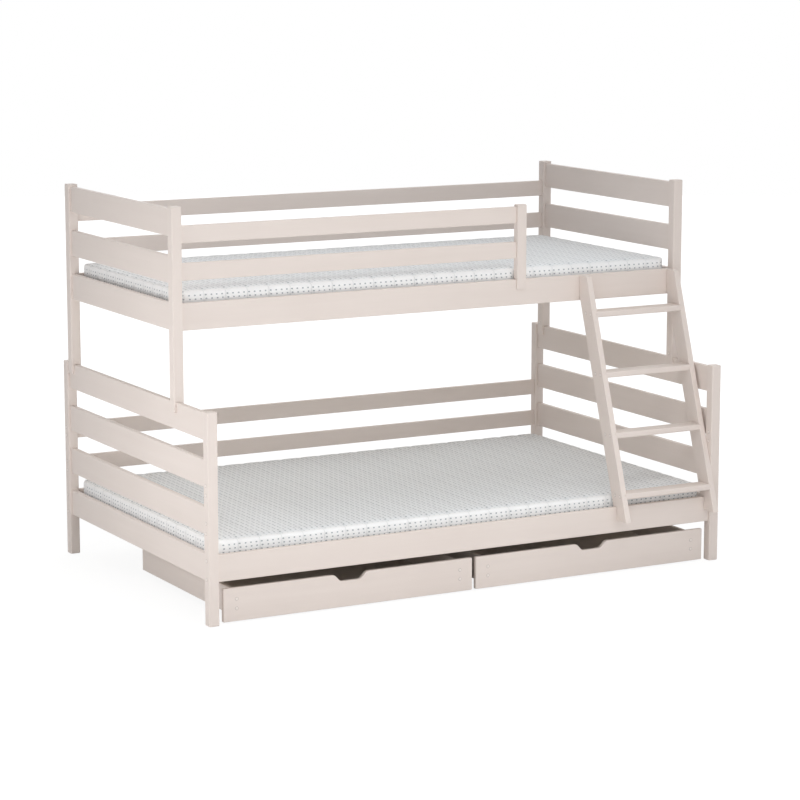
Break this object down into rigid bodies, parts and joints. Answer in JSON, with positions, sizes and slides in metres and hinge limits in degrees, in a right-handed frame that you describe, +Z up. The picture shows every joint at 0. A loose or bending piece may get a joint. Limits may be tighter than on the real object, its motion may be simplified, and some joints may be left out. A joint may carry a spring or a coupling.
{
  "type": "bunk bed with drawers",
  "caption": "Painted wooden bunk bed: a narrow upper bunk on a wider lower bed, with a leaning ladder, guard rails, mattresses and wheeled drawers on the floor below",
  "frame": {"origin": "on the floor, at the centre of the overall box", "axes": "+X along the bed to the ladder end, +Y to the wall side behind, +Z up"},
  "size_m": [2.08, 1.3352, 1.396],
  "materials": {
    "painted_wood": "satin paint over solid softwood",
    "slat_pine": "planed, unpainted pine",
    "bottom_panel": "plywood, unpainted",
    "mattress_knit": "quilted knit cover over foam",
    "wheel_plastic": "moulded wheels on a steel axle"
  },
  "bodies": {
    "bed_frame": {"lower_post_front_left": "painted_wood", "lower_post_back_left": "painted_wood", "upper_post_front_left": "painted_wood", "upper_post_back_left": "painted_wood", "lower_post_front_right": "painted_wood", "lower_post_back_right": "painted_wood", "upper_post_front_right": "painted_wood", "upper_post_back_right": "painted_wood", "lower_end_board_left_1": "painted_wood", "lower_end_board_left_2": "painted_wood", "lower_end_board_left_3": "painted_wood", "lower_end_board_left_4": "painted_wood", "upper_end_board_left_1": "painted_wood", "upper_end_board_left_2": "painted_wood", "upper_end_board_left_3": "painted_wood", "lower_end_board_right_1": "painted_wood", "lower_end_board_right_2": "painted_wood", "lower_end_board_right_3": "painted_wood", "lower_end_board_right_4": "painted_wood", "upper_end_board_right_1": "painted_wood", "upper_end_board_right_2": "painted_wood", "upper_end_board_right_3": "painted_wood", "lower_front_rail": "painted_wood", "lower_back_rail": "painted_wood", "upper_front_rail": "painted_wood", "upper_back_rail": "painted_wood", "lower_back_guard_1": "painted_wood", "upper_back_guard_1": "painted_wood", "front_guard_1": "painted_wood", "lower_back_guard_2": "painted_wood", "upper_back_guard_2": "painted_wood", "front_guard_2": "painted_wood", "guard_post": "painted_wood", "lower_slats": "slat_pine", "upper_slats": "slat_pine", "lower_mattress": "mattress_knit", "upper_mattress": "mattress_knit", "ladder_stile_left": "painted_wood", "ladder_stile_right": "painted_wood", "ladder_tread_1": "painted_wood", "ladder_tread_2": "painted_wood", "ladder_tread_3": "painted_wood", "ladder_tread_4": "painted_wood"},
    "left_drawer": {"left_drawer_front": "painted_wood", "left_drawer_side_left": "painted_wood", "left_drawer_side_right": "painted_wood", "left_drawer_back": "painted_wood", "left_drawer_bottom": "bottom_panel"},
    "right_drawer": {"right_drawer_front": "painted_wood", "right_drawer_side_left": "painted_wood", "right_drawer_side_right": "painted_wood", "right_drawer_back": "painted_wood", "right_drawer_bottom": "bottom_panel"},
    "left_front_wheels": {"left_drawer_wheelset_front": "wheel_plastic"},
    "left_back_wheels": {"left_drawer_wheelset_back": "wheel_plastic"},
    "right_front_wheels": {"right_drawer_wheelset_front": "wheel_plastic"},
    "right_back_wheels": {"right_drawer_wheelset_back": "wheel_plastic"}
  },
  "joints": [
    {"name": "left_drawer_slide", "type": "slide", "parent": "bed_frame", "child": "left_drawer", "axis": [0, -1, 0], "range_m": [0, 0.62]},
    {"name": "right_drawer_slide", "type": "slide", "parent": "bed_frame", "child": "right_drawer", "axis": [0, -1, 0], "range_m": [0, 0.62]},
    {"name": "left_front_wheels_turn", "type": "hinge", "parent": "left_drawer", "child": "left_front_wheels", "pos_m": [-0.49375, -0.48836, 0.0153], "axis": [1, 0, 0], "continuous": true},
    {"name": "left_back_wheels_turn", "type": "hinge", "parent": "left_drawer", "child": "left_back_wheels", "pos_m": [-0.49375, 0.09764, 0.0153], "axis": [1, 0, 0], "continuous": true},
    {"name": "right_front_wheels_turn", "type": "hinge", "parent": "right_drawer", "child": "right_front_wheels", "pos_m": [0.49375, -0.48836, 0.0153], "axis": [1, 0, 0], "continuous": true},
    {"name": "right_back_wheels_turn", "type": "hinge", "parent": "right_drawer", "child": "right_back_wheels", "pos_m": [0.49375, 0.09764, 0.0153], "axis": [1, 0, 0], "continuous": true}
  ],
  "couplings": [
    {"joint": "left_front_wheels_turn", "follows": "left_drawer_slide", "rad_per_m": 66.667},
    {"joint": "left_back_wheels_turn", "follows": "left_drawer_slide", "rad_per_m": 66.667},
    {"joint": "right_front_wheels_turn", "follows": "right_drawer_slide", "rad_per_m": 66.667},
    {"joint": "right_back_wheels_turn", "follows": "right_drawer_slide", "rad_per_m": 66.667}
  ]
}
